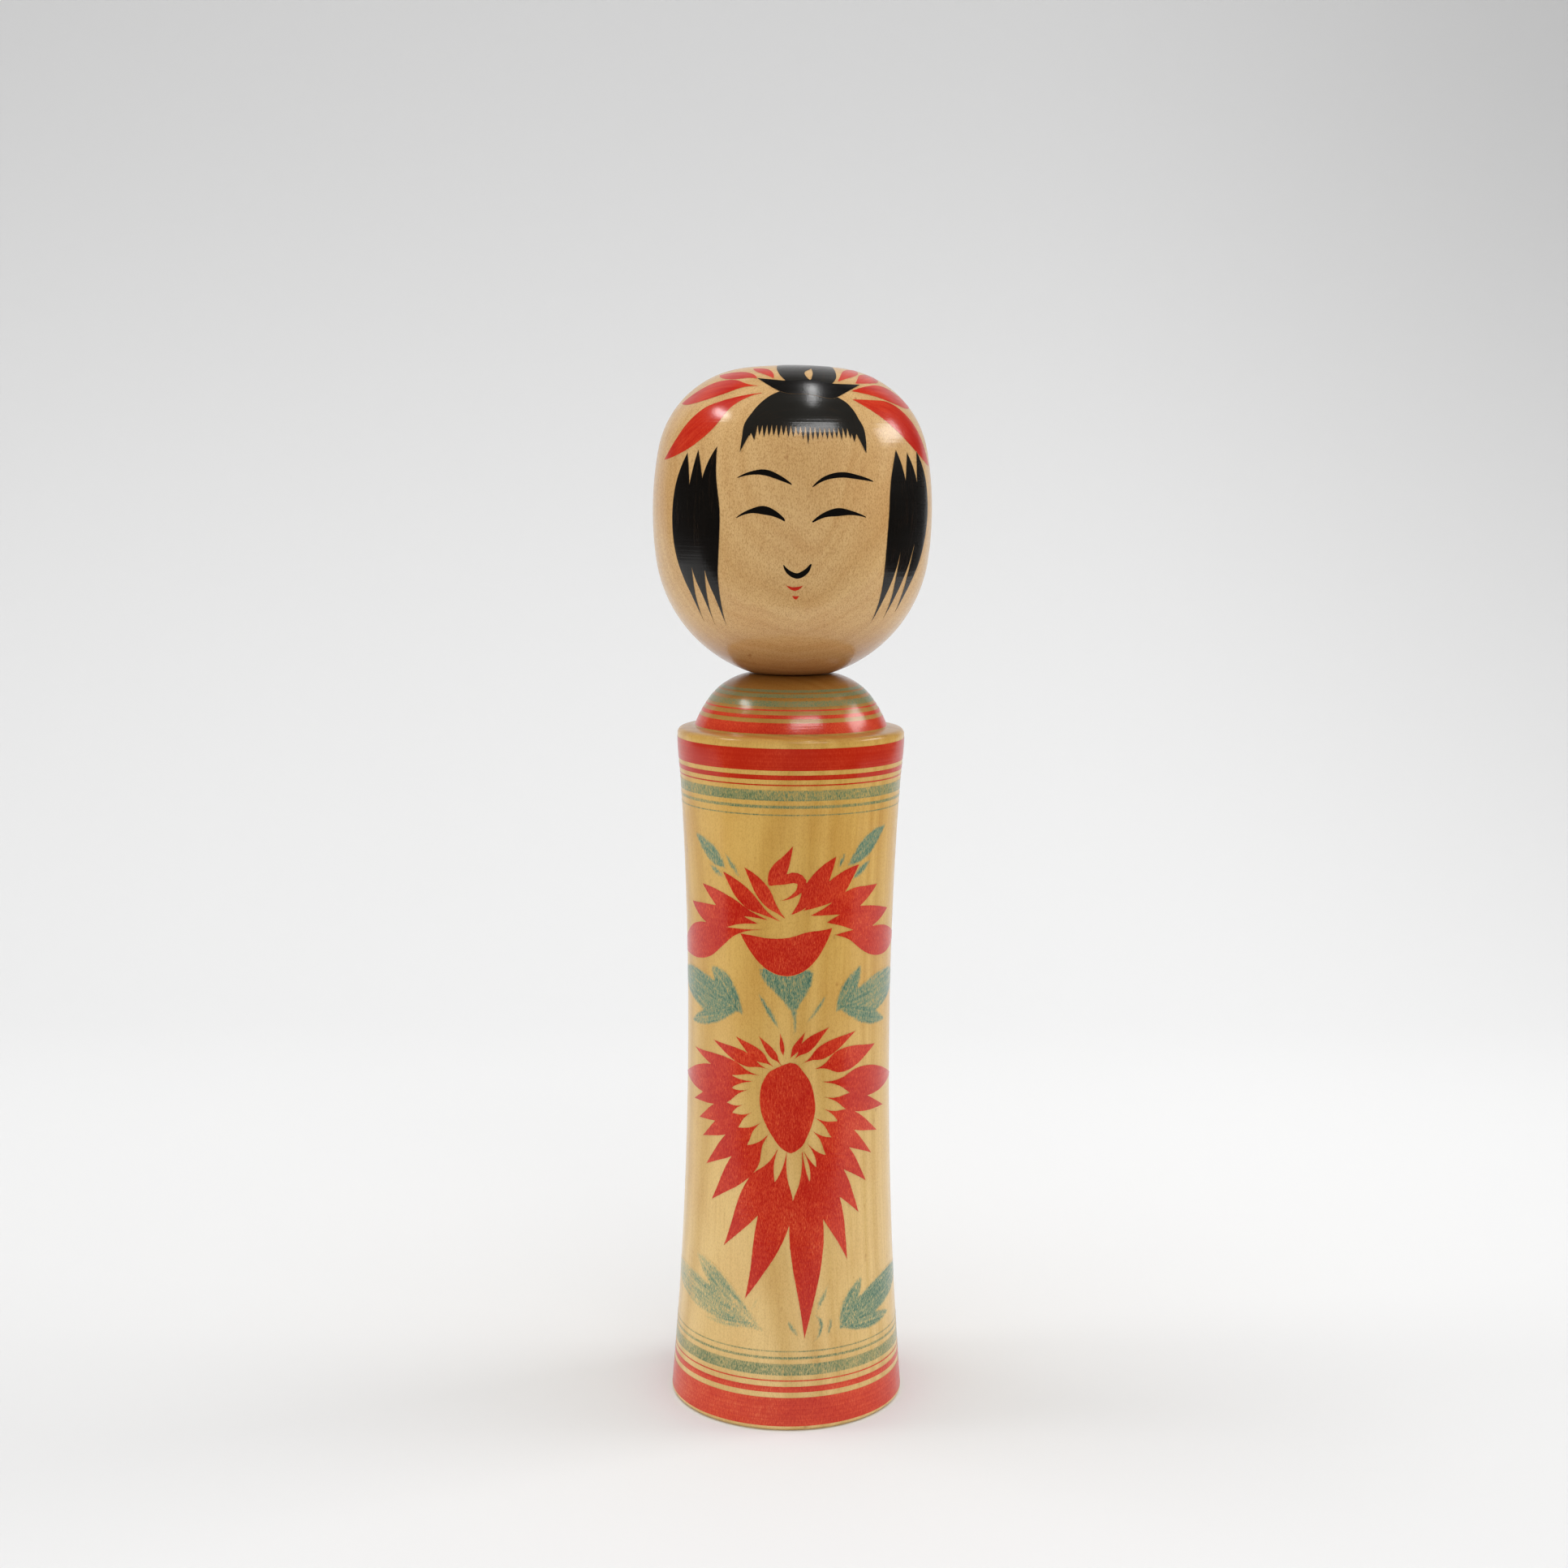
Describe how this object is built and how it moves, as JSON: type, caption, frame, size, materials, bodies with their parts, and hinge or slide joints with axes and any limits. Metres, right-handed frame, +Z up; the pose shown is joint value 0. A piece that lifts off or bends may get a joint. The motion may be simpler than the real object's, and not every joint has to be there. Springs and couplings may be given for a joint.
{
  "type": "kokeshi doll",
  "caption": "Turned wooden doll with a waisted cylindrical body, a stepped shoulder dome and a rounded head that turns on a captive neck tenon.",
  "frame": {"origin": "centre of the flat foot, on the table", "axes": "+Z up along the turning axis, the painted face looks along -Y"},
  "size_m": [0.0638, 0.0638, 0.242],
  "materials": {
    "body_wood": "turned pale hardwood aged to a warm tan, waxed to a soft satin",
    "head_wood": "turned pale hardwood aged to a warm tan, waxed to a soft satin",
    "red_paint": "thin red dye stained into the wood and waxed",
    "green_paint": "thin faded green dye stained into the wood and waxed",
    "black_ink": "black brush ink on wood, waxed"
  },
  "bodies": {
    "body": {"body": "body_wood"},
    "head": {"head": "head_wood"}
  },
  "joints": [
    {"name": "head_turn", "type": "hinge", "parent": "body", "child": "head", "pos_m": [0, 0, 0.1724], "axis": [0, 0, 1], "continuous": true}
  ]
}
